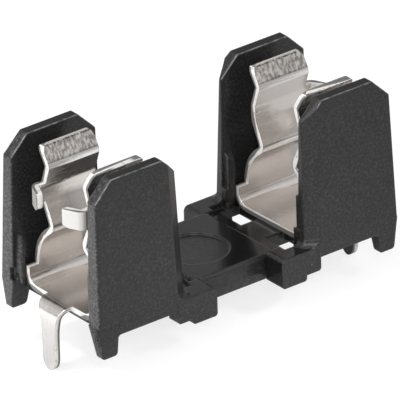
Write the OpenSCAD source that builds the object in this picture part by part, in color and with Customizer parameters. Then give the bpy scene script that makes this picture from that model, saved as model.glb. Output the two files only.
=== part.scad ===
// Open fuse holder for a 5 x 20 mm cartridge fuse, soldered to a circuit board.
// A moulded base with four guard walls carries two folded spring clips, each with a solder pin.
// X runs along the fuse, Y across it and Z up from the board.
// The origin is the middle of the seating plane on the board.

/* [Layout] */
// Distance between the two solder pins, middle to middle
pin_pitch = 22.86; // [21.5:0.01:26]
// Height of the clips' seat above the board
seat_z = 1.69; // [1.5:0.01:2]
// Height of the blocks' and the bridge's undersides above the board
stand_off = 0.12; // [0.05:0.01:0.3]

/* [Contact sheet] */
// Thickness of the sheet
sheet_t = 0.4; // [0.3:0.05:0.5]
// Width of a clip's base along the fuse
clip_base_w = 5.3; // [4.6:0.1:6]
// Width of a leg along the fuse
leg_w = 3.82; // [3:0.02:4.4]
// Radius of the top corners of a leg
leg_corner = 0.6; // [0.1:0.05:0.8]
// Height of the base's shoulders above the seat
shoulder_h = 1.4; // [1.1:0.05:1.8]

/* [Clip profile] */
// Half the clear width of the belly under the fuse
belly_y = 2.97; // [2.7:0.01:3.4]
// Height of the belly's apex above the seat
belly_h = 3.01; // [2.7:0.01:3.3]
// Half the clear width at the apex of the lower neck
lower_neck_y = 1.27; // [1:0.01:1.6]
// Height of the lower neck's apex above the seat
lower_neck_h = 4.2; // [3.9:0.01:4.6]
// Half the clear width where the legs grip the fuse cap
grip_y = 2.13; // [1.9:0.01:2.4]
// Height of the grip's lower apex above the seat
grip_low_h = 6.03; // [5.8:0.01:6.4]
// Height of the grip's upper apex above the seat
grip_high_h = 6.88; // [6.6:0.01:7.5]
// Half the clear width at the apex of the upper neck
upper_neck_y = 1.62; // [1.4:0.01:1.8]
// Height of the upper neck's apex above the seat
upper_neck_h = 8.33; // [8:0.01:9]
// Half the clear width at the top of the lead-in flare
flare_y = 2.4; // [2:0.01:2.6]
// Height of the flare's top edge above the seat
flare_h = 9.62; // [9.3:0.01:10.5]
// Inside radius of the fold from base to leg
base_fold_r = 0.6; // [0.3:0.05:1]
// Inside radius of the belly
belly_r = 2.9; // [2:0.1:3]
// Inside radius of the lower neck's fold
lower_neck_r = 0.25; // [0.1:0.05:0.4]
// Inside radius of the grip's lower fold
grip_low_r = 1.6; // [0.8:0.1:2]
// Inside radius of the grip's upper fold
grip_high_r = 1.2; // [0.3:0.1:1.6]
// Inside radius of the upper neck's fold
upper_neck_r = 0.15; // [0.1:0.05:0.4]

/* [End stops] */
// Height of an end stop's lower edge above the seat
ear_low_h = 5.95; // [5.7:0.05:6.2]
// Height of an end stop
ear_h = 1.2; // [0.9:0.05:1.4]
// Reach of an end stop beyond the leg's edge
ear_out = 0.75; // [0.5:0.05:1]
// Length of an end stop beyond its fold
ear_len = 1.4; // [1:0.05:1.8]
// Angle of an end stop's fold
ear_angle = 66; // [50:1:90]
// Inside radius of an end stop's fold
ear_fold_r = 0.2; // [0.1:0.05:0.3]
// Radius of an end stop's lower corner
ear_corner_r = 0.6; // [0.2:0.05:0.6]
// Radius of an end stop's upper corner
ear_top_r = 0.2; // [0.1:0.05:0.4]

/* [Solder pins] */
// Reach of a pin's outer face beyond the clip's base
pin_reach = 0.98; // [0.9:0.01:1.4]
// Length of a pin below the board's top face
pin_below = 2.3; // [1.8:0.05:4]
// Width of a pin
pin_w = 1.2; // [0.8:0.05:1.6]
// Width of a pin at its root on the base
pin_root_w = 2.4; // [1.8:0.05:3]
// Height of a pin's curved flanks, down from the base's top face
pin_flank_h = 2.2; // [1.5:0.05:2.8]
// Height of a pin's rounded tip
pin_tip_h = 0.9; // [0.5:0.05:1.2]
// Inside radius of a pin's fold
pin_fold_r = 0.45; // [0.3:0.05:0.5]

/* [Guard walls] */
// Height of the walls above the board
wall_top = 11.57; // [10.8:0.01:13]
// Thickness of a wall at its top
wall_t = 0.75; // [0.6:0.05:1.1]
// Growth of a wall's thickness from its top to its widest level
wall_draft = 0.35; // [0.1:0.05:0.5]
// Level where the walls are widest
wide_z = 2.17; // [2:0.01:2.6]
// Lean of a wall's outer end from its top to its widest level
end_lean = 0.19; // [0.05:0.01:0.3]
// Lean of a wall's inner end from its top to its widest level
inner_lean = 0.2; // [0.05:0.01:0.3]
// Chamfer on a wall's top corners
top_corner = 1.27; // [0.8:0.01:1.8]
// Length of the chamfer on a wall's inner edge, along the fuse
edge_chamfer_x = 0.85; // [0.4:0.05:1.2]
// Depth of the chamfer on a wall's inner edge, across the fuse
edge_chamfer_y = 0.55; // [0.3:0.05:0.65]
// Level of a wall's lower edge between its foot and its block
wall_bottom = 1.32; // [1.1:0.01:1.4]
// Room for a leg to spring outwards inside its wall
leg_room = 0.33; // [0.2:0.01:0.6]

/* [Clip guides] */
// Clearance between a clip's base and the guide ribs
clip_clear = 0.05; // [0.02:0.01:0.15]
// Width of an outer guide rib along the fuse
rib_w = 0.3; // [0.15:0.01:0.4]
// Width of an inner guide rib along the fuse
inner_rib_w = 0.46; // [0.2:0.01:0.48]
// Thickness of a guide rib across the fuse
rib_t = 0.43; // [0.2:0.01:0.6]
// Distance from an outer guide rib to the wall's end
rib_inset = 0.19; // [0.1:0.01:0.5]
// Level of a guide rib's sloping top at the wall
rib_top = 5.33; // [4.5:0.01:6]
// Drop of a guide rib's sloping top towards its face
rib_drop = 0.2; // [0.1:0.01:0.5]
// Level of an outer guide rib's lower end
rib_low = 1.98; // [1.7:0.01:2.3]
// Level of the ledge under an inner guide rib
ledge_z = 3.05; // [2.3:0.01:3.5]
// Depth of the lead-in notch in a wall's outer end
notch_d = 0.25; // [0.1:0.05:0.4]
// Level of the lead-in notch's lower edge
notch_low = 2.12; // [2:0.01:2.3]
// Level of the lead-in notch's upper edge
notch_high = 3.02; // [2.5:0.01:3.5]

/* [Feet] */
// Length of a foot along the fuse at the wall's lower edge
foot_l = 1.25; // [0.9:0.05:2]
// Distance that a foot's inner end draws in towards the board
foot_taper = 0.08; // [0.02:0.01:0.2]
// Distance that a foot's inner face draws outwards towards the board
foot_hollow = 0.5; // [0.05:0.01:0.6]
// Level where a foot's inner face starts to draw outwards
foot_root_z = 2.05; // [1.6:0.01:2.1]
// Distance that the walls' ends draw in from the widest level to the board
foot_tuck_x = 0.22; // [0.05:0.01:0.4]
// Distance that the walls' outer faces draw in from the widest level to the board
foot_tuck_y = 0.1; // [0.05:0.01:0.3]
// Radius of a foot's lower corners
foot_r = 0.22; // [0.1:0.01:0.3]

/* [Blocks] */
// Reach of a block beyond the wall's inner end
block_reach = 2.32; // [1.8:0.01:2.6]
// Reach of a block under the wall
block_under = 0.65; // [0.4:0.01:0.9]
// Width of a block across the fuse
block_w = 1.6; // [1.4:0.05:1.8]
// Level of the blocks' tops and the bridge's top
bridge_top = 2.07; // [1.95:0.01:2.4]
// Radius of a block's inner top corner
block_r = 0.35; // [0.1:0.05:0.6]
// Length of the step in a block's underside
block_step_l = 1.1; // [0.6:0.05:1.4]
// Height of the step in a block's underside
block_step_h = 0.36; // [0.2:0.01:0.6]
// Radius of a block's lower corners
block_low_r = 0.2; // [0.1:0.05:0.3]
// Length of the chamfer on a block's corner under the clip, along the fuse
block_chamfer_x = 0.5; // [0.2:0.05:0.7]
// Depth of the chamfer on a block's corner under the clip, across the fuse
block_chamfer_y = 0.7; // [0.3:0.05:0.9]
// Radius of the fillet from a block up into its wall
wall_fillet_r = 0.45; // [0.2:0.05:0.6]

/* [Bridge and floor] */
// Half width of the bridge's top lip
lip_y = 3.3; // [3.2:0.01:3.4]
// Half width of the bridge below its lip
waist_y = 2.95; // [2.7:0.01:3.05]
// Height of the lip's straight edge
lip_h = 0.12; // [0.05:0.01:0.25]
// Level of the waist under the lip
waist_z = 1.47; // [1.3:0.01:1.6]
// Level of the edge along the bridge's side
side_edge_z = 0.69; // [0.5:0.01:0.9]
// Swell of the bridge's side at that edge
side_swell = 0.1; // [0.02:0.01:0.2]
// Radius of the round sink in the top of the bridge
sink_r = 2.08; // [1.2:0.01:2.3]
// Distance of the round sink's middle from the bridge's middle, towards -X
sink_off = 0.38; // [0:0.01:0.5]
// Depth of the round sink
sink_d = 0.17; // [0.08:0.01:0.3]
// Radius of the corners of the bridge's top
bridge_corner_r = 0.4; // [0.1:0.05:0.6]
// Depth of the cored pockets in the bridge's underside
core_d = 1.05; // [0.6:0.05:1.2]
// Thickness of the bridge's walls around the cored pockets
core_wall = 0.75; // [0.6:0.05:1]
// Thickness of the floor under the clips
floor_t = 0.55; // [0.4:0.05:0.8]
// Depth of the rib under the floor's middle
floor_rib_d = 0.35; // [0.2:0.05:0.5]
// Distance from the clip's outer edge back to the floor's end
floor_setback = 0.5; // [0.3:0.05:1.5]
// Length of a slot in the floor, along the fuse
slot_l = 1.48; // [1:0.01:1.8]
// Reach of a slot under the clip's inner edge
slot_under = 0.15; // [0.05:0.05:0.4]
// Half width of the floor's tongue between two slots
tongue_y = 1.13; // [0.8:0.01:1.4]
// Width of a slot across the fuse
slot_w = 2.05; // [1.2:0.05:2.2]
// Distance from a slot to the end of the bridge's top
slot_land = 1.05; // [0.8:0.05:1.4]
// Reach of the clear floor beside a slot beyond the slot's inner end
pocket_land = 0.5; // [0.1:0.05:0.8]

/* [Hidden] */
$fn = 48;

plastic = [0.16, 0.16, 0.17];
tinned = [0.72, 0.69, 0.65];

// Facets along each fold and along each rounded corner
fold_steps = 8;
// Length that always reaches past the part
far = 30;
// Overlap where two shapes of one piece run into each other
lap = 0.4;

clip_x = (pin_pitch + sheet_t) / 2 - pin_reach - clip_base_w / 2;
inner_y = belly_y + sheet_t + leg_room;
wide_y = inner_y + wall_t + wall_draft;
wall_half = clip_base_w / 2 + clip_clear + rib_w + rib_inset;
wall_in = clip_x - wall_half;
wall_out = clip_x + wall_half;
wall_toe = wall_in - inner_lean;
draft_angle = atan2(wall_draft, wall_top - wide_z);
lean_angle = atan2(inner_lean, wall_top - top_corner - wide_z);
block_in = wall_in - block_reach;
block_out = wall_in + block_under;
slot_out = clip_x - clip_base_w / 2 + slot_under;
slot_in = slot_out - slot_l;
bridge_half = slot_in - slot_land;
floor_in = (block_in + bridge_half) / 2;
floor_out = clip_x + clip_base_w / 2 - floor_setback;
floor_z = seat_z - floor_t;
rib_root_y = inner_y + wall_t / 4;

// The clip's half section: apex points on the inner face and the inside radius of each fold
half_apexes = [
    [belly_y, sheet_t],
    [belly_y, belly_h],
    [lower_neck_y, lower_neck_h],
    [grip_y, grip_low_h],
    [grip_y, grip_high_h],
    [upper_neck_y, upper_neck_h],
    [flare_y, flare_h]
];
half_folds = [base_fold_r, belly_r, lower_neck_r, grip_low_r, grip_high_r, upper_neck_r, 0];

function unit(v) = v / norm(v);
function left_of(v) = [-v.y, v.x];
function rotated(v, a) = [v.x * cos(a) - v.y * sin(a), v.x * sin(a) + v.y * cos(a)];
function reversed(list) = [for (i = [len(list) - 1 : -1 : 0]) list[i]];
function joined(lists) = [for (list = lists) each list];

// Signed angle by which a path turns at b
function turn_at(a, b, c) =
    let (u = b - a, w = c - b)
    atan2(u.x * w.y - u.y * w.x, u * w);

// Arc that rounds the corner at b with radius r, moved by d to the path's right
function corner_arc(a, b, c, r, d) =
    let (
        u = unit(b - a),
        turn = turn_at(a, b, c),
        side = sign(turn),
        centre = b - u * r * tan(abs(turn) / 2) + left_of(u) * side * r,
        start = -left_of(u) * side * (r + side * d)
    )
    [for (i = [0 : fold_steps]) centre + rotated(start, turn * i / fold_steps)];

// Radius on the path's left face of each fold, for a sheet that lies to the path's right
function left_radii(path, folds, t) = [
    for (i = [1 : len(path) - 2])
    turn_at(path[i - 1], path[i], path[i + 1]) < 0 ? folds[i] + t : folds[i]
];

// Length that each fold takes up on both of its legs
function fold_reach(path, radii) = [
    for (i = [1 : len(path) - 2])
    radii[i - 1] * tan(abs(turn_at(path[i - 1], path[i], path[i + 1])) / 2)
];

// Radii made smaller together where two neighbouring folds would run into each other
function fitted_radii(path, radii) =
    let (reach = concat([0], fold_reach(path, radii), [0]))
    [
        for (i = [1 : len(path) - 2])
        let (
            before = norm(path[i] - path[i - 1]) / (reach[i - 1] + reach[i]),
            after = norm(path[i + 1] - path[i]) / (reach[i] + reach[i + 1])
        )
        radii[i - 1] * min(1, before, after)
    ];

// One face of a folded sheet, d to the right of its path
function sheet_face(path, radii, d) =
    let (
        last = len(path) - 1,
        first_side = -left_of(unit(path[1] - path[0])),
        last_side = -left_of(unit(path[last] - path[last - 1]))
    )
    concat(
        [path[0] + first_side * d],
        joined([
            for (i = [1 : last - 1])
            corner_arc(path[i - 1], path[i], path[i + 1], radii[i - 1], d)
        ]),
        [path[last] + last_side * d]
    );

// Section of a folded sheet of thickness t that lies to the right of its path
module folded_section(path, folds, t) {
    radii = fitted_radii(path, left_radii(path, folds, t));
    polygon(concat(sheet_face(path, radii, 0), reversed(sheet_face(path, radii, t))));
}

// Closed outline with the given radius at each corner, sharp where it is 0
module rounded_outline(points, radii) {
    n = len(points);
    polygon(joined([
        for (i = [0 : n - 1])
        radii[i] == 0
            ? [points[i]]
            : corner_arc(points[(i + n - 1) % n], points[i], points[(i + 1) % n], radii[i], 0)
    ]));
}

// Extrusions whose drawing lies in the YZ and XZ planes, centred on the third axis
module along_x(length) {
    rotate([90, 0, 90]) linear_extrude(length, center = true) children();
}

module along_y(length) {
    rotate([90, 0, 0]) linear_extrude(length, center = true) children();
}

// The same child in all four corners of the base
module four_corners() {
    for (sx = [0, 1], sy = [0, 1]) {
        mirror([sx, 0, 0]) mirror([0, sy, 0]) children();
    }
}

// The same child on both sides across the fuse
module both_sides() {
    for (sy = [0, 1]) {
        mirror([0, sy, 0]) children();
    }
}

// Folded sheet of base and legs, cut to the outline of its blank
module clip_body() {
    mirrored = [for (p = reversed(half_apexes)) [-p.x, p.y]];
    path = concat(mirrored, half_apexes);
    folds = concat(reversed(half_folds), half_folds);
    base_half = clip_base_w / 2;
    leg_half = leg_w / 2;
    tab_half = leg_half + ear_out / 2;
    blank_top = flare_h + sheet_t / 20;
    intersection() {
        along_x(clip_base_w) folded_section(path, folds, sheet_t);
        along_y(far) rounded_outline(
            [
                [-base_half, -sheet_t],
                [base_half, -sheet_t],
                [base_half, shoulder_h],
                [leg_half, shoulder_h],
                [leg_half, ear_low_h],
                [tab_half, ear_low_h],
                [tab_half, ear_low_h + ear_h],
                [leg_half, ear_low_h + ear_h],
                [leg_half, blank_top],
                [-leg_half, blank_top],
                [-leg_half, shoulder_h],
                [-base_half, shoulder_h]
            ],
            [0, 0, 0, 0, 0, 0, 0, 0, leg_corner, leg_corner, 0, 0]
        );
    }
}

// Tab on a leg's outer edge, folded in across the end of the fuse
module end_stop() {
    outer_y = grip_y + sheet_t;
    fold_x = leg_w / 2 + ear_out;
    tip = [fold_x, outer_y] + ear_len * [cos(ear_angle), -sin(ear_angle)];
    path = [[leg_w / 2 + ear_out / 4, outer_y], [fold_x, outer_y], tip];
    high = ear_low_h + ear_h;
    tip_y = tip.y - sheet_t * cos(ear_angle);
    intersection() {
        linear_extrude(far) folded_section(path, [0, ear_fold_r, 0], sheet_t);
        along_x(far) rounded_outline(
            [[tip_y, ear_low_h], [far, ear_low_h], [far, high], [tip_y, high]],
            [ear_corner_r, 0, 0, ear_top_r]
        );
    }
}

// Tab on the base's outer edge, folded down and narrowed to a solder pin
module solder_pin() {
    face_x = clip_base_w / 2 + pin_reach;
    low = -seat_z - pin_below;
    path = [[clip_base_w / 2 - lap, sheet_t], [face_x, sheet_t], [face_x, low]];
    half = pin_w / 2;
    narrowing = (pin_root_w - pin_w) / 2;
    flank_r = (pin_flank_h * pin_flank_h + narrowing * narrowing) / (2 * narrowing);
    flank_z = sheet_t - pin_flank_h;
    flank = [
        for (i = [0 : fold_steps])
        let (h = pin_flank_h * (1 - i / fold_steps))
        [half + flank_r - sqrt(flank_r * flank_r - h * h), flank_z + h]
    ];
    tip = [
        for (i = [0 : fold_steps])
        let (a = 90 * i / fold_steps)
        [half * cos(a), low + pin_tip_h * (1 - sin(a))]
    ];
    edge = concat([[pin_root_w / 2, 2 * sheet_t]], flank, tip);
    intersection() {
        along_y(pin_root_w) folded_section(path, [0, pin_fold_r, 0], sheet_t);
        along_x(far) polygon(concat(edge, [for (p = reversed(edge)) [-p.x, p.y]]));
    }
}

// One contact clip about the middle of its base's underside, with its pin towards +X
module clip() {
    color(tinned) {
        clip_body();
        both_sides() end_stop();
        solder_pin();
    }
}

module clip_right() {
    translate([clip_x, 0, seat_z]) clip();
}

module clip_left() {
    rotate([0, 0, 180]) clip_right();
}

// Section across a guard wall and its foot, drafted outside
module wall_section() {
    polygon([
        [inner_y + foot_hollow, 0],
        [wide_y - foot_tuck_y, 0],
        [wide_y, wide_z],
        [inner_y + wall_t, wall_top],
        [inner_y, wall_top],
        [inner_y, foot_root_z]
    ]);
}

// Guard wall with its foot, chamfered along its inner edge
module wall() {
    foot_in = wall_out - foot_l;
    intersection() {
        along_y(far) rounded_outline(
            [
                [wall_toe, wall_bottom],
                [foot_in, wall_bottom],
                [foot_in + foot_taper, 0],
                [wall_out + end_lean - foot_tuck_x, 0],
                [wall_out + end_lean, wide_z],
                [wall_out, wall_top - top_corner],
                [wall_out - top_corner, wall_top],
                [wall_in + top_corner, wall_top],
                [wall_in, wall_top - top_corner],
                [wall_toe, wide_z]
            ],
            [0, foot_r, foot_r, foot_r, 0, 0, 0, 0, 0, 0]
        );
        along_x(far) wall_section();
        translate([wall_toe, wide_y, wide_z]) rotate([draft_angle, lean_angle, 0])
            linear_extrude(far, center = true) polygon([
                [-edge_chamfer_x, -wide_y],
                [-edge_chamfer_x, -2 * edge_chamfer_y],
                [edge_chamfer_x, 0],
                [edge_chamfer_x, wide_y],
                [far, wide_y],
                [far, -wide_y]
            ]);
    }
}

// Fillet of radius r from the plane z = 0 up a face at x = 0, with all that lies behind that face
module fillet_run(r) {
    along_y(far) polygon(concat(
        [[far, -lap], [-r, -lap]],
        [for (i = [0 : fold_steps]) let (a = 90 * i / fold_steps) [r * sin(a) - r, r - r * cos(a)]],
        [[far, r]]
    ));
}

// Fillet around the foot of a wall's inner end, from the block's top up into the wall
module wall_fillet() {
    chamfer_angle = atan2(edge_chamfer_y, edge_chamfer_x);
    intersection() {
        translate([wall_toe, wide_y - edge_chamfer_y, bridge_top]) {
            intersection() {
                fillet_run(wall_fillet_r);
                rotate([0, 0, chamfer_angle - 90]) fillet_run(wall_fillet_r);
            }
        }
        translate([block_out - far / 2, 0, 0]) along_x(far) wall_section();
    }
}

// Block at the inner end of a wall, close above the board
module block() {
    step_x = block_out - block_step_l;
    along = [
        [block_in, stand_off],
        [step_x, stand_off],
        [step_x, stand_off + block_step_h],
        [block_out, stand_off + block_step_h],
        [block_out, bridge_top],
        [block_in, bridge_top]
    ];
    radii = [block_low_r, block_low_r, 0, block_low_r, 0, block_r];
    block_y = wide_y - block_w;
    intersection() {
        along_y(far) rounded_outline(along, radii);
        linear_extrude(wall_top) polygon([
            [block_in - lap, block_y],
            [block_out - block_chamfer_x, block_y],
            [block_out, block_y + block_chamfer_y],
            [block_out, wide_y],
            [block_in - lap, wide_y]
        ]);
    }
}

// Rib of a width on a wall's inner face, from a low level up to its sloping top, about its middle plane
module guide_rib(width, low) {
    face_y = inner_y - rib_t;
    along_x(width) polygon([
        [rib_root_y, low],
        [face_y, low],
        [face_y, rib_top - rib_drop],
        [inner_y, rib_top],
        [rib_root_y, rib_top]
    ]);
}

// Ribs that hold the clip's base lengthwise, the inner one standing on a ledge
module guide_ribs() {
    clear = clip_base_w / 2 + clip_clear;
    face_y = inner_y - rib_t;
    translate([clip_x + clear + rib_w / 2, 0, 0]) guide_rib(rib_w, rib_low);
    translate([clip_x - clear - inner_rib_w / 2, 0, 0]) guide_rib(inner_rib_w, floor_z);
    translate([wall_toe, face_y, floor_z])
        cube([clip_x - clear - wall_toe, rib_root_y - face_y, ledge_z - floor_z]);
}

// Notch in a wall's outer end that leads the clip in
module lead_in_notch() {
    notch_x = clip_x + clip_base_w / 2 + clip_clear + rib_w;
    translate([notch_x, inner_y - lap, notch_low]) cube([far, notch_d + lap, notch_high - notch_low]);
}

// Floor under one clip, with a ribbed tongue between two slots at the clip's inner edge
module clip_floor() {
    floor_l = floor_out - floor_in;
    translate([0, 0, floor_z]) linear_extrude(floor_t) difference() {
        translate([floor_in, -rib_root_y]) square([floor_l, 2 * rib_root_y]);
        for (sy = [-1, 1]) {
            translate([slot_in + slot_l / 2, sy * (tongue_y + slot_w / 2)])
                square([slot_l, slot_w], center = true);
        }
    }
    translate([floor_in, -tongue_y, floor_z - floor_rib_d])
        cube([clip_x - floor_in, 2 * tongue_y, floor_rib_d + floor_t]);
}

// Clear space above the floor beside a slot, out to the wall's inner face
module slot_pocket() {
    pocket_in = slot_in - pocket_land;
    translate([pocket_in, 0, seat_z]) cube([wall_toe - pocket_in, inner_y, bridge_top]);
}

// Bridge between the two clips, with a waisted side under its lip
module bridge() {
    half = [
        [waist_y, stand_off],
        [waist_y + side_swell, side_edge_z],
        [waist_y, waist_z],
        [lip_y, bridge_top - lip_h],
        [lip_y, bridge_top]
    ];
    core_l = bridge_half - core_wall - core_wall / 2;
    core_w = 2 * (waist_y - core_wall);
    corner = [bridge_half, lip_y];
    plan = [-corner, [corner.x, -corner.y], corner, [-corner.x, corner.y]];
    difference() {
        intersection() {
            along_x(2 * bridge_half) polygon(concat(half, [for (p = reversed(half)) [-p.x, p.y]]));
            linear_extrude(wall_top) rounded_outline(plan, [for (p = plan) bridge_corner_r]);
        }
        translate([-sink_off, 0, bridge_top - sink_d]) cylinder(h = sink_d + lap, r = sink_r);
        for (sx = [-1, 1]) {
            translate([sx * (core_l + core_wall) / 2, 0, stand_off])
                cube([core_l, core_w, 2 * core_d], center = true);
        }
    }
}

// The whole moulded base
module base() {
    color(plastic) difference() {
        union() {
            bridge();
            for (sx = [0, 1]) {
                mirror([sx, 0, 0]) clip_floor();
            }
            four_corners() {
                wall();
                wall_fillet();
                block();
                guide_ribs();
            }
        }
        four_corners() {
            lead_in_notch();
            slot_pocket();
        }
    }
}

base();
clip_left();
clip_right();
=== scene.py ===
"""Looks, light and camera for an open fuse holder: a black moulded base and two tinned spring clips."""

import math

import bmesh
import bpy
from mathutils import Matrix, Vector
from mathutils.bvhtree import BVHTree


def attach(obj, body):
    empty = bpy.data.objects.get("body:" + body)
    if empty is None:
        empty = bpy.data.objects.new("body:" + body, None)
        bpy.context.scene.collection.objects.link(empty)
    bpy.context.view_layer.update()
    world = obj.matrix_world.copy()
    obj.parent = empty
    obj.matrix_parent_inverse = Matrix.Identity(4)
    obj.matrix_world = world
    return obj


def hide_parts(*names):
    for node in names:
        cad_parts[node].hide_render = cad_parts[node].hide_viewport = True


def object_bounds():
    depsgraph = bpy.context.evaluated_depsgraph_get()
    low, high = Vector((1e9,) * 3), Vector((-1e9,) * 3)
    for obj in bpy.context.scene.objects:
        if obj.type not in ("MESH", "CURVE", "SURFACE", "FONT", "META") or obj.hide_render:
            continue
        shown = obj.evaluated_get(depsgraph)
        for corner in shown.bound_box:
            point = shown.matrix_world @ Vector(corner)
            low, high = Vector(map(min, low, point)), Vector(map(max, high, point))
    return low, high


MM = 0.001

# Photograph: its size in pixels, and the camera that was fitted to it
IMAGE_PX = 400
FOCAL_PX = 12619.8
TARGET = Vector((0, 0, 5.12)) * MM
TARGET_PX = (198.9, 201.0)
DISTANCE = 757.83 * MM
TURN = math.radians(37.45)
ELEVATION = math.radians(27.06)
ROLL = math.radians(-1.65)
SENSOR = 36

# Edges of the dressed pieces: width of the shaded rounds, and the angles that stay sharp or are merged flat
PLASTIC_EDGE = 0.18 * MM
SHEET_EDGE = 0.06 * MM
EDGE_SAMPLES = 8
PLASTIC_SHARP = math.radians(14)
SHEET_SHARP = math.radians(30)
FLAT = math.radians(0.4)
SAME_POINT = 0.0002 * MM

# Real rounds on the guard walls: their size, and which edges take them
WALL_ROUND = 0.08 * MM
WALL_SHARP = math.radians(25)
SHORTEST_EDGE = 3 * WALL_ROUND
SHOULDER_LEVEL = 8.5 * MM
RIB_TOP = 5.0 * MM
WALL_END = 10.5 * MM

# Sheet of the clips: its thickness, the depth of metal from which a face counts as a cut edge, where the ray
# that measures this depth starts, and the layer that holds how far across the sheet a point lies
SHEET = 0.4 * MM
CUT_DEPTH = 1.3 * SHEET
RAY_START = SHEET / 20
ACROSS = "across"

# Limits of the finishes: a pair says where one begins and where it is full, and two more values say where it
# fades and where it ends. They are levels or distances in millimetres, parts of a normal, or values of noise.

# Moulding: limits of its finishes
UPWARD = (0.90, 0.98)
INWARD = (-0.90, -0.98)
OUTER_END = (0.4, 0.8)
GRITTY = (0.45, 0.75)
FLECKED = (0.45, 0.75)
BROKEN_HIGHLIGHT = (0.35, 0.6)
CROWN_LEVELS = (9.5, 10.5)
RIM_LEVELS = (8.5, 9.0)
RIM_SIDEWAYS = (0.3, 0.5, 0.85, 0.95)
RIM_UPWARD = (0.25, 0.4)
GLOSS_AND_SHADE_LEVELS = (2.6, 2.3)
SINK_LEVEL = 1.9
OFF_SINK = (0.04, 0.08)

# Moulding: how strongly the finishes show
GRIT_SHOWS = (0.30, 1.0)
FLECK_REACH = (0.0, 0.13)
FLECK_SHOWS = 0.35
HIGHLIGHT_SHOWS = (0.25, 1.0)
INNER_SHADE_SHOWS = 0.8

# Moulding: its roughness and relief, what the finishes change in them, and its skin
ROUGH_GRAIN = (0.2, 0.8)
PLASTIC_ROUGHNESS = (0.30, 0.44)
CROWN_DULLER = 0.4
POLISH_SMOOTHER = 0.2
GRAIN_RELIEF = 0.5
POLISHED_RELIEF = 0.1
PLASTIC_SKIN = {"IOR": 1.4, "Coat Weight": 0.27, "Coat Roughness": 0.14}

# Moulding: tones
MOULDED_DARK = (0.0070, 0.0068, 0.0073, 1)
MOULDED_PALE = (0.0120, 0.0117, 0.0125, 1)
GRIT_TONE = (0.110, 0.109, 0.112, 1)
# Painted shade on the tops of the guard walls
CROWN_SHADE_TONE = (0.004, 0.004, 0.004, 1)
FLECK_TONE = (0.22, 0.22, 0.22, 1)
# Painted highlight on the upper rims of the guard walls
RIM_HIGHLIGHT_TONE = (0.20, 0.20, 0.205, 1)
# Painted shade on the bridge top and the blocks' inner ends
INNER_SHADE_TONE = (0.005, 0.005, 0.005, 1)

# Sheet: limits of its finishes
PIN_LEVELS = (1.6, 0.8)
PIN_SHADE_LEVELS = (0.4, -0.4)
PIN_INWARD = (-0.7, -0.9)
STOP_LEVELS = (5.0, 5.5)
BEYOND_LEG = (10.3, 10.45)
LOWER_NECK_LEVEL = 5.89
LOWER_NECK = (0.18, 0.13)
NECK_LINES = (0.18, 0.22, 0.28, 0.34)
UPPER_NECK = (9.75, 9.90, 10.19, 10.25)
FLARE_LEVELS = (10.19, 10.25)
BORDER_LEVELS = (10.35, 10.25)
DOTTED_BAND_LEVELS = (11.10, 11.14, 11.17, 11.20)
BELOW_LIP = (11.23, 11.20)
SPECKLED = (0.40, 0.60)
DOTTED = (0.42, 0.55)
STREAKED = (0.25, 0.75)

# Sheet: limits on its cut edges, of which the torn side and the top rim are parts of the way across
CUT_UPWARD = (0.6, 0.75)
TOP_CUT_LEVELS = (10.5, 10.6)
TOP_RIM = (0.2, 0.1)
TORN = (0.55, 0.67)
PITTED = (0.40, 0.34)
CUT_GRAIN = (0.25, 0.75)

# Sheet: how strongly the finishes show, and its roughness and share of metal
NECK_LINES_SHOW = 0.45
SPECKLE_SHOWS = 0.75
BORDER_SHOWS = 0.6
PITS_SHOW = 0.4
TORN_SHOWS = 0.85
TIN_ROUGHNESS = (0.16, 0.28)
FLARE_ROUGHNESS = 0.45
FLARE_RELIEF = 0.7
CUT_ROUGHNESS = (0.38, 0.55)
STOP_METALLIC = 0.35
CUT_METALLIC = 0.45

# Sheet: how dense its noise is along X, Y and Z
ROLLED = (0.5, 4.0, 4.0)
DRAWN = (4.0, 4.0, 0.4)
FLARE_GRAIN = (1.0, 0.5, 0.5)
BAND_DOTS = (4.0, 0.5, 0.5)

# Sheet: tones
TIN_DARK = (0.76, 0.71, 0.67, 1)
TIN_PALE = (0.83, 0.785, 0.75, 1)
PIN_DARK = (0.56, 0.54, 0.53, 1)
PIN_PALE = (0.80, 0.79, 0.78, 1)
# Painted shade on the pins' side towards the middle
PIN_SHADE_TONE = (0.09, 0.085, 0.08, 1)
# Painted highlight on the necks
NECK_HIGHLIGHT_TONE = (0.97, 0.95, 0.94, 1)
SCUFFED_TONE = (0.64, 0.625, 0.61, 1)
SPECKLE_TONE = (0.20, 0.19, 0.18, 1)
# Painted shade in dark lines by the lower neck, on the flares' lower border and in a dotted band under the
# lip
SHADE_LINE_TONE = (0.10, 0.095, 0.09, 1)
SHEARED_DARK = (0.78, 0.76, 0.74, 1)
SHEARED_PALE = (0.92, 0.905, 0.89, 1)
PIT_TONE = (0.30, 0.28, 0.26, 1)
# Dark tone of the torn side, partly painted shade
TORN_AND_SHADE_TONE = (0.07, 0.065, 0.06, 1)

# Studio: the floor's size and tones, a spot's bulb, and the room that is a little brighter overhead
FLOOR_RADIUS = 3.0
FLOOR_TONE = (0.5, 0.5, 0.5, 1)
FLOOR_SEEN = (0.26, 0.26, 0.26, 1)
GLOW_SEEN = 0.77
GLOW_MIRRORED = 0.14
WHITE = (1, 1, 1, 1)
SPOT_BULB = 0.01
BRIGHT_SIDE = Vector((0.1, -0.25, 0.96)).normalized()
ROOM_LIMITS = (0.45, 0.95)
ROOM_STRENGTH = (0.44, 0.75)


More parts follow.
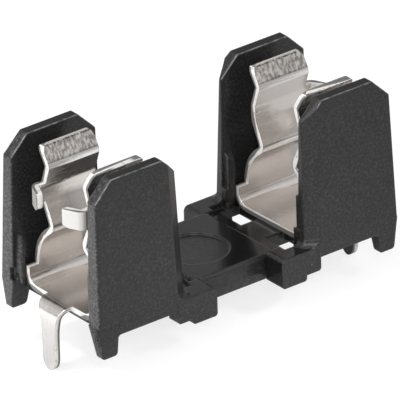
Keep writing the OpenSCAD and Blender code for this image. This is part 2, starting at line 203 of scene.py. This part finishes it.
class Tree:
    """A material's or world's node tree, with short calls to add nodes and link them."""

    def __init__(self, owner):
        owner.use_nodes = True
        self.nodes = owner.node_tree.nodes
        self.links = owner.node_tree.links
        self.nodes.clear()

    def add(self, kind, inputs=None, **settings):
        node = self.nodes.new("ShaderNode" + kind)
        for name, value in settings.items():
            setattr(node, name, value)
        for name, value in (inputs or {}).items():
            self.put(node.inputs[name], value)
        return node

    def put(self, socket, value):
        if isinstance(value, bpy.types.NodeSocket):
            self.links.new(value, socket)
        else:
            socket.default_value = value

    def math(self, operation, a, b=0.0):
        node = self.add("Math", operation=operation)
        self.put(node.inputs[0], a)
        self.put(node.inputs[1], b)
        return node.outputs[0]

    def times(self, a, b):
        return self.math("MULTIPLY", a, b)

    def either(self, a, b):
        """The larger of two masks."""
        return self.math("MAXIMUM", a, b)

    def distance(self, a, b):
        return self.math("ABSOLUTE", self.math("SUBTRACT", a, b))

    def ramp(self, value, limits, results=(0.0, 1.0), **settings):
        """The first result up to the first limit, the second from the second on, and a ramp between them."""
        node = self.add("MapRange", {"Value": value}, **settings)
        self.put(node.inputs["From Min"], limits[0])
        self.put(node.inputs["From Max"], limits[1])
        self.put(node.inputs["To Min"], results[0])
        self.put(node.inputs["To Max"], results[1])
        return node.outputs["Result"]

    def between(self, value, limits):
        """A mask that rises from the first limit to the second and falls from the third to the fourth."""
        rising = self.ramp(value, limits[:2])
        falling = self.ramp(value, limits[2:], (1.0, 0.0))
        return self.times(rising, falling)

    def shift(self, mask, usual, changed):
        """A value that goes from its usual one to a changed one as a mask goes from 0 to 1."""
        return self.ramp(mask, (0.0, 1.0), (usual, changed))

    def noise(self, vector, scale, detail=2.0, roughness=0.5):
        node = self.add("TexNoise", {"Vector": vector, "Scale": scale, "Detail": detail})
        self.put(node.inputs["Roughness"], roughness)
        return node.outputs["Fac"]

    def mix(self, factor, a, b):
        node = self.add("Mix", data_type="RGBA")
        self.put(node.inputs[0], factor)
        self.put(node.inputs[6], a)
        self.put(node.inputs[7], b)
        return node.outputs[2]

    def parts(self, vector):
        """X, Y and Z of a vector."""
        return self.add("SeparateXYZ", {"Vector": vector}).outputs

    def millimetres(self):
        """Place on the piece in millimetres, as the CAD gives it."""
        place = self.add("TexCoord").outputs["Object"]
        node = self.add("VectorMath", {"Scale": 1 / MM}, operation="SCALE")
        self.put(node.inputs[0], place)
        return node.outputs["Vector"]

    def stretched(self, vector, scale):
        node = self.add("VectorMath", operation="MULTIPLY")
        self.put(node.inputs[0], vector)
        self.put(node.inputs[1], scale)
        return node.outputs["Vector"]

    def face_normal(self):
        return self.add("NewGeometry").outputs["True Normal"]

    def away(self, spot, facing):
        """From -1 on faces that look at the part's middle along X to 1 on those that look away from it."""
        return self.times(self.math("SIGN", spot["X"]), facing["X"])

    def bump(self, normal, height, strength, depth):
        node = self.add("Bump", {"Normal": normal, "Height": height})
        self.put(node.inputs["Strength"], strength)
        self.put(node.inputs["Distance"], depth)
        return node.outputs["Normal"]

    def rounded(self, radius):
        """Shading normal that turns smoothly over sharp edges."""
        return self.add("Bevel", {"Radius": radius}, samples=EDGE_SAMPLES).outputs["Normal"]

    def surface(self, shader, output="OutputMaterial"):
        self.links.new(shader, self.add(output).inputs["Surface"])


def black_plastic():
    """Glass-filled black thermoplastic with specks, painted highlight on the upper wall rims, painted shade
    on the wall tops, and a glossy bridge with painted shade.
    """
    material = bpy.data.materials.new("black_plastic")
    tree = Tree(material)
    place = tree.millimetres()
    spot = tree.parts(place)
    rounded = tree.rounded(PLASTIC_EDGE)
    facing = tree.parts(rounded)
    away = tree.away(spot, facing)
    upward = tree.ramp(facing["Z"], UPWARD)

    # Fine grain, which shows most on the outer ends
    grain = tree.noise(place, scale=6.5, detail=3.0, roughness=0.65)
    cloud = tree.noise(place, scale=0.55)
    moulded = tree.mix(cloud, MOULDED_DARK, MOULDED_PALE)
    grit = tree.times(tree.ramp(grain, GRITTY), tree.ramp(away, OUTER_END, GRIT_SHOWS))
    grainy = tree.mix(grit, moulded, GRIT_TONE)

    # Tops of the guard walls: painted shade in their colour, and duller roughness
    crown = tree.times(upward, tree.ramp(spot["Z"], CROWN_LEVELS))
    crown_shaded = tree.mix(crown, grainy, CROWN_SHADE_TONE)

    # A few pale specks
    cells = tree.add("TexVoronoi", {"Vector": place, "Scale": 2.6}).outputs["Distance"]
    reach = tree.ramp(tree.noise(place, scale=0.9, detail=1.0), FLECKED, FLECK_REACH)
    fleck = tree.times(tree.math("LESS_THAN", cells, reach), FLECK_SHOWS)
    flecked = tree.mix(fleck, crown_shaded, FLECK_TONE)

    # Painted highlight along the upper rims of the guard walls, broken up by noise
    sideways = tree.between(tree.math("ABSOLUTE", facing["Y"]), RIM_SIDEWAYS)
    rim = tree.times(sideways, tree.ramp(facing["Z"], RIM_UPWARD))
    upper_rim = tree.times(rim, tree.ramp(spot["Z"], RIM_LEVELS))
    highlight_breaks = tree.ramp(tree.noise(place, scale=2.2), BROKEN_HIGHLIGHT, HIGHLIGHT_SHOWS)
    rim_highlighted = tree.mix(tree.times(upper_rim, highlight_breaks), flecked, RIM_HIGHLIGHT_TONE)

    # Glossy top of the bridge and inner ends of the blocks, with painted shade darkening their colour, but
    # for the round sink
    inner = tree.either(upward, tree.ramp(away, INWARD))
    low = tree.times(inner, tree.ramp(spot["Z"], GLOSS_AND_SHADE_LEVELS))
    gloss_and_shade = tree.times(low, tree.ramp(tree.distance(spot["Z"], SINK_LEVEL), OFF_SINK))
    colour = tree.mix(tree.times(gloss_and_shade, INNER_SHADE_SHOWS), rim_highlighted, INNER_SHADE_TONE)

    # Satin skin over the grain
    satin = tree.ramp(grain, ROUGH_GRAIN, PLASTIC_ROUGHNESS)
    duller = tree.math("ADD", satin, tree.times(crown, CROWN_DULLER))
    roughness = tree.math("SUBTRACT", duller, tree.times(gloss_and_shade, POLISH_SMOOTHER))
    relief = tree.shift(gloss_and_shade, GRAIN_RELIEF, POLISHED_RELIEF)
    shader = tree.add("BsdfPrincipled", {"Base Color": colour, "Roughness": roughness, **PLASTIC_SKIN})
    tree.put(shader.inputs["Normal"], tree.bump(rounded, grain, strength=relief, depth=0.03 * MM))
    tree.put(shader.inputs["Coat Normal"], rounded)
    tree.surface(shader.outputs["BSDF"])
    return material


def tinned_sheet():
    """Satin tin on rolled sheet: painted highlight on the necks, grained flares, painted shade in dark lines
    and a dotted band, scuffed end stops and painted shade on the pins' inner sides.
    """
    material = bpy.data.materials.new("tinned_sheet")
    tree = Tree(material)
    place = tree.millimetres()
    spot = tree.parts(place)
    level = spot["Z"]
    away = tree.away(spot, tree.parts(tree.face_normal()))

    # Rolled sheet, and pins that are drawn along their length
    streaks = tree.noise(tree.stretched(place, ROLLED), scale=3.0, detail=3.0)
    drawn = tree.noise(tree.stretched(place, DRAWN), scale=3.0, detail=3.0)
    cloud = tree.noise(place, scale=0.8, detail=3.0)
    sheet = tree.mix(cloud, TIN_DARK, TIN_PALE)
    pin = tree.mix(drawn, PIN_DARK, PIN_PALE)
    plated = tree.mix(tree.ramp(level, PIN_LEVELS), sheet, pin)

    # Painted highlight on the necks, and painted shade in two dark lines either side of the lower one
    from_neck = tree.distance(level, LOWER_NECK_LEVEL)
    necks = tree.either(tree.between(level, UPPER_NECK), tree.ramp(from_neck, LOWER_NECK))
    neck_shade_lines = tree.times(tree.between(from_neck, NECK_LINES), NECK_LINES_SHOW)
    neck_highlighted = tree.mix(necks, plated, NECK_HIGHLIGHT_TONE)

    # Scuffed end stops, and painted shade on the pins' side towards the middle
    beyond_leg = tree.ramp(tree.math("ABSOLUTE", spot["X"]), BEYOND_LEG)
    stop = tree.times(beyond_leg, tree.ramp(level, STOP_LEVELS))
    scuffed = tree.mix(stop, neck_highlighted, SCUFFED_TONE)
    pin_shade = tree.times(tree.ramp(away, PIN_INWARD), tree.ramp(level, PIN_SHADE_LEVELS))
    tone = tree.mix(pin_shade, scuffed, PIN_SHADE_TONE)

    # Grained flares, with painted shade in a dark lower border and in a dotted band under the lip, which is
    # left without speckles
    grain = tree.noise(tree.stretched(place, FLARE_GRAIN), scale=5.5, roughness=0.6)
    flare = tree.ramp(level, FLARE_LEVELS)
    speckled = tree.times(tree.ramp(grain, SPECKLED), tree.times(flare, tree.ramp(level, BELOW_LIP)))
    grained = tree.mix(tree.times(speckled, SPECKLE_SHOWS), tone, SPECKLE_TONE)
    border_shade = tree.times(tree.times(flare, tree.ramp(level, BORDER_LEVELS)), BORDER_SHOWS)
    dots = tree.ramp(tree.noise(tree.stretched(place, BAND_DOTS), scale=1.6, detail=1.0), DOTTED)
    band_shade = tree.times(tree.between(level, DOTTED_BAND_LEVELS), dots)
    shade_lines = tree.either(tree.either(border_shade, band_shade), neck_shade_lines)
    colour = tree.mix(shade_lines, grained, SHADE_LINE_TONE)

    # Satin metal with faint waves, rough on the flares and less metallic on the end stops
    roughness = tree.shift(flare, tree.ramp(streaks, STREAKED, TIN_ROUGHNESS), FLARE_ROUGHNESS)
    metallic = tree.shift(stop, 1.0, STOP_METALLIC)
    waves = tree.bump(tree.rounded(SHEET_EDGE), cloud, strength=0.10, depth=0.2 * MM)
    fine = tree.bump(waves, streaks, strength=0.04, depth=0.05 * MM)
    coarse = tree.bump(fine, grain, strength=tree.times(flare, FLARE_RELIEF), depth=0.06 * MM)
    shader = tree.add("BsdfPrincipled", {"Base Color": colour, "Roughness": roughness})
    tree.put(shader.inputs["Metallic"], metallic)
    tree.put(shader.inputs["Normal"], coarse)
    tree.surface(shader.outputs["BSDF"])
    return material


def sheared_edge():
    """Metal where the sheet was cut: sheared bright on the fuse's side, and dark on the outer side, where the
    torn zone also carries painted shade.
    """
    material = bpy.data.materials.new("sheared_edge")
    tree = Tree(material)
    place = tree.millimetres()
    grain = tree.noise(place, scale=6.0, detail=3.0, roughness=0.6)
    pits = tree.times(tree.ramp(tree.noise(place, scale=3.5), PITTED), PITS_SHOW)
    bright = tree.mix(pits, tree.mix(grain, SHEARED_DARK, SHEARED_PALE), PIT_TONE)

    # Torn side, darker than the sheared side and also carrying painted shade, and painted shade on the outer
    # rim of the flares' top edges
    across = tree.add("Attribute", attribute_name=ACROSS).outputs["Fac"]
    upward = tree.ramp(tree.parts(tree.face_normal())["Z"], CUT_UPWARD)
    top = tree.times(upward, tree.ramp(tree.parts(place)["Z"], TOP_CUT_LEVELS))
    torn_and_shade = tree.either(tree.times(top, tree.ramp(across, TOP_RIM)), tree.ramp(across, TORN))
    colour = tree.mix(tree.times(torn_and_shade, TORN_SHOWS), bright, TORN_AND_SHADE_TONE)

    normal = tree.bump(tree.rounded(SHEET_EDGE), grain, strength=0.15, depth=0.03 * MM)
    shader = tree.add("BsdfPrincipled", {"Base Color": colour, "Metallic": CUT_METALLIC, "Normal": normal})
    tree.put(shader.inputs["Roughness"], tree.ramp(grain, CUT_GRAIN, CUT_ROUGHNESS))
    tree.surface(shader.outputs["BSDF"])
    return material


def mark_cut_faces(work):
    """Gives the second material to faces with no opposite face one sheet's thickness behind them."""
    tree = BVHTree.FromBMesh(work)
    for face in work.faces:
        inwards = -face.normal
        start = face.calc_center_median_weighted() + inwards * RAY_START
        depth = tree.ray_cast(start, inwards)[3]
        face.material_index = int(depth is None or depth > CUT_DEPTH)


def mark_outer_side(work):
    """Writes on each point how far it lies across the sheet: 0 on the fuse's side and 1 on the outer side."""
    across = work.verts.layers.float.new(ACROSS)
    rolled = [face for face in work.faces if face.material_index == 0]
    outer = {min(rolled, key=lambda face: face.normal.z * face.calc_area())}
    edge_of_search = set(outer)
    while edge_of_search:
        beside = {near for face in edge_of_search for edge in face.edges for near in edge.link_faces}
        edge_of_search = {face for face in beside if face.material_index == 0} - outer
        outer |= edge_of_search
    for face in outer:
        for vert in face.verts:
            vert[across] = 1.0


def takes_round(edge):
    """Whether an edge is a long sharp edge at the top or the outer end of a guard wall."""
    if not (edge.is_manifold and edge.is_convex):
        return False
    if edge.calc_face_angle() < WALL_SHARP or edge.calc_length() < SHORTEST_EDGE:
        return False
    middle = (edge.verts[0].co + edge.verts[1].co) / 2
    at_end = abs(middle.x) > WALL_END and middle.z > RIB_TOP
    return middle.z > SHOULDER_LEVEL or at_end


def round_walls(work):
    """Rounds the guard walls' edges in the mesh itself, with smooth shading over the rounds."""
    strips = bmesh.ops.bevel(
        work,
        geom=[edge for edge in work.edges if takes_round(edge)],
        offset=WALL_ROUND,
        offset_type="OFFSET",
        segments=3,
        profile=0.5,
        affect="EDGES",
        clamp_overlap=False,
    )["faces"]
    for face in strips:
        for edge in face.edges:
            edge.smooth = True


def dressed(node, name, sharp, materials, slot):
    """Puts a copy with merged points, flat faces and smooth folds in a CAD node's place."""
    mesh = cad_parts[node].data.copy()
    work = bmesh.new()
    work.from_mesh(mesh)
    bmesh.ops.remove_doubles(work, verts=work.verts, dist=SAME_POINT)
    bmesh.ops.dissolve_limit(work, angle_limit=FLAT, verts=work.verts, edges=work.edges)
    for edge in work.edges:
        edge.smooth = edge.calc_face_angle(0.0) < sharp
    if slot == "base_plastic":
        round_walls(work)
    else:
        mark_cut_faces(work)
        mark_outer_side(work)
    mesh.materials.clear()
    for material in materials:
        mesh.materials.append(material)
    work.to_mesh(mesh)
    work.free()
    mesh.shade_smooth()
    piece = bpy.data.objects.new(name, mesh)
    bpy.context.scene.collection.objects.link(piece)
    flats = piece.modifiers.new("flats", "WEIGHTED_NORMAL")
    flats.mode = "FACE_AREA"
    flats.weight = 100
    flats.keep_sharp = True
    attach(piece, "root")
    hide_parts(node)


def aimed(place, target):
    """Matrix that puts something at a place and turns its -Z towards a target."""
    direction = (Vector(target) - Vector(place)).normalized()
    turn = direction.to_track_quat("-Z", "Y").to_matrix().to_4x4()
    return Matrix.Translation(place) @ turn


def soft_box(name, place, side, power):
    """A square studio light that looks at the part."""
    lamp = bpy.data.lights.new(name, "AREA")
    lamp.shape = "SQUARE"
    lamp.size = side
    lamp.energy = power
    holder = bpy.data.objects.new(name, lamp)
    holder.matrix_world = aimed(place, TARGET)
    bpy.context.scene.collection.objects.link(holder)


def floor_spot(name, place, target, radius, power):
    """A spot that brightens a round patch of the floor, with a soft border."""
    lamp = bpy.data.lights.new(name, "SPOT")
    lamp.energy = power
    lamp.spot_size = 2 * math.atan2(radius, (Vector(target) - Vector(place)).length)
    lamp.spot_blend = 1.0
    lamp.shadow_soft_size = SPOT_BULB
    holder = bpy.data.objects.new(name, lamp)
    holder.matrix_world = aimed(place, target)
    bpy.context.scene.collection.objects.link(holder)


def pale_floor(level):
    """A wide white floor under the pins that stays white to the camera and keeps a soft shadow."""
    material = bpy.data.materials.new("white_floor")
    tree = Tree(material)
    path = tree.add("LightPath").outputs
    seen = path["Is Camera Ray"]
    mirrored = tree.either(path["Is Glossy Ray"], path["Is Transmission Ray"])
    diffuse = tree.add("BsdfDiffuse", {"Color": tree.mix(seen, FLOOR_TONE, FLOOR_SEEN)})
    strength = tree.either(tree.times(seen, GLOW_SEEN), tree.times(mirrored, GLOW_MIRRORED))
    glow = tree.add("Emission", {"Color": WHITE, "Strength": strength})
    both = tree.add("AddShader")
    tree.put(both.inputs[0], diffuse.outputs[0])
    tree.put(both.inputs[1], glow.outputs[0])
    tree.surface(both.outputs[0])
    mesh = bpy.data.meshes.new("floor")
    work = bmesh.new()
    bmesh.ops.create_circle(work, cap_ends=True, segments=64, radius=FLOOR_RADIUS)
    bmesh.ops.translate(work, verts=work.verts, vec=(0, 0, level))
    work.to_mesh(mesh)
    work.free()
    mesh.materials.append(material)
    floor = bpy.data.objects.new("floor", mesh)
    bpy.context.scene.collection.objects.link(floor)


def studio_world():
    """A dim plain room around the part, a little brighter overhead."""
    world = bpy.data.worlds.new("studio")
    tree = Tree(world)
    towards = tree.add("VectorMath", operation="DOT_PRODUCT")
    tree.put(towards.inputs[0], tree.add("TexCoord").outputs["Generated"])
    tree.put(towards.inputs[1], BRIGHT_SIDE)
    height = towards.outputs["Value"]
    strength = tree.ramp(height, ROOM_LIMITS, ROOM_STRENGTH, interpolation_type="SMOOTHSTEP")
    back = tree.add("Background", {"Color": WHITE, "Strength": strength})
    tree.surface(back.outputs["Background"], "OutputWorld")
    bpy.context.scene.world = world


def photo_camera():
    """Camera at the photograph's place, with its long lens and its slight roll."""
    right = Vector((math.cos(TURN), -math.sin(TURN), 0))
    back = Vector((
        -math.sin(TURN) * math.cos(ELEVATION),
        -math.cos(TURN) * math.cos(ELEVATION),
        math.sin(ELEVATION),
    ))
    up = back.cross(right)
    rolled_right = right * math.cos(ROLL) + up * math.sin(ROLL)
    rolled_up = up * math.cos(ROLL) - right * math.sin(ROLL)
    pixel = DISTANCE / FOCAL_PX
    aside = (TARGET_PX[0] - IMAGE_PX / 2) * pixel
    above = (IMAGE_PX / 2 - TARGET_PX[1]) * pixel
    place = TARGET + back * DISTANCE - rolled_right * aside - rolled_up * above
    lens = bpy.data.cameras.new("photo_camera")
    lens.sensor_width = SENSOR
    lens.sensor_fit = "HORIZONTAL"
    lens.lens = SENSOR * FOCAL_PX / IMAGE_PX
    lens.clip_start = DISTANCE / 10
    lens.clip_end = DISTANCE * 10
    camera = bpy.data.objects.new("photo_camera", lens)
    turn = Matrix((rolled_right, rolled_up, back)).transposed().to_4x4()
    camera.matrix_world = Matrix.Translation(place) @ turn
    bpy.context.scene.collection.objects.link(camera)
    bpy.context.scene.camera = camera


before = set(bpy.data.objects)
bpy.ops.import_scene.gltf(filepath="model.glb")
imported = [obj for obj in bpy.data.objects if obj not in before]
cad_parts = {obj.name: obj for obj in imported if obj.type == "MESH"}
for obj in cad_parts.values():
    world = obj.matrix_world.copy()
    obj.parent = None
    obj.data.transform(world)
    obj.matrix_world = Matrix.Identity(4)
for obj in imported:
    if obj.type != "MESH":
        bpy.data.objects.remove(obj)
cad_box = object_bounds()

contact_finish = [tinned_sheet(), sheared_edge()]
dressed("base", "base_moulding", PLASTIC_SHARP, [black_plastic()], "base_plastic")
dressed("clip_left", "left_contact", SHEET_SHARP, contact_finish, "tinned_contact")
dressed("clip_right", "right_contact", SHEET_SHARP, contact_finish, "tinned_contact")

bpy.context.scene.view_settings.view_transform = "Standard"
floor_level = cad_box[0][2]
studio_world()
pale_floor(floor_level)

# Lamps: places and sizes in metres, powers in watts
left_patch = (-0.026, 0.012, floor_level)
front_patch = (0.003, -0.012, floor_level)
soft_box("key", place=(-0.33, -0.03, 0.16), side=0.70, power=2.9)
soft_box("edge_light", place=(-0.21, -0.33, 0.255), side=0.035, power=0.45)
floor_spot("left_floor_light", place=(-0.07, 0.03, 0.12), target=left_patch, radius=0.022, power=1.4)
floor_spot("front_floor_light", place=(0.02, -0.07, 0.06), target=front_patch, radius=0.012, power=0.30)

photo_camera()
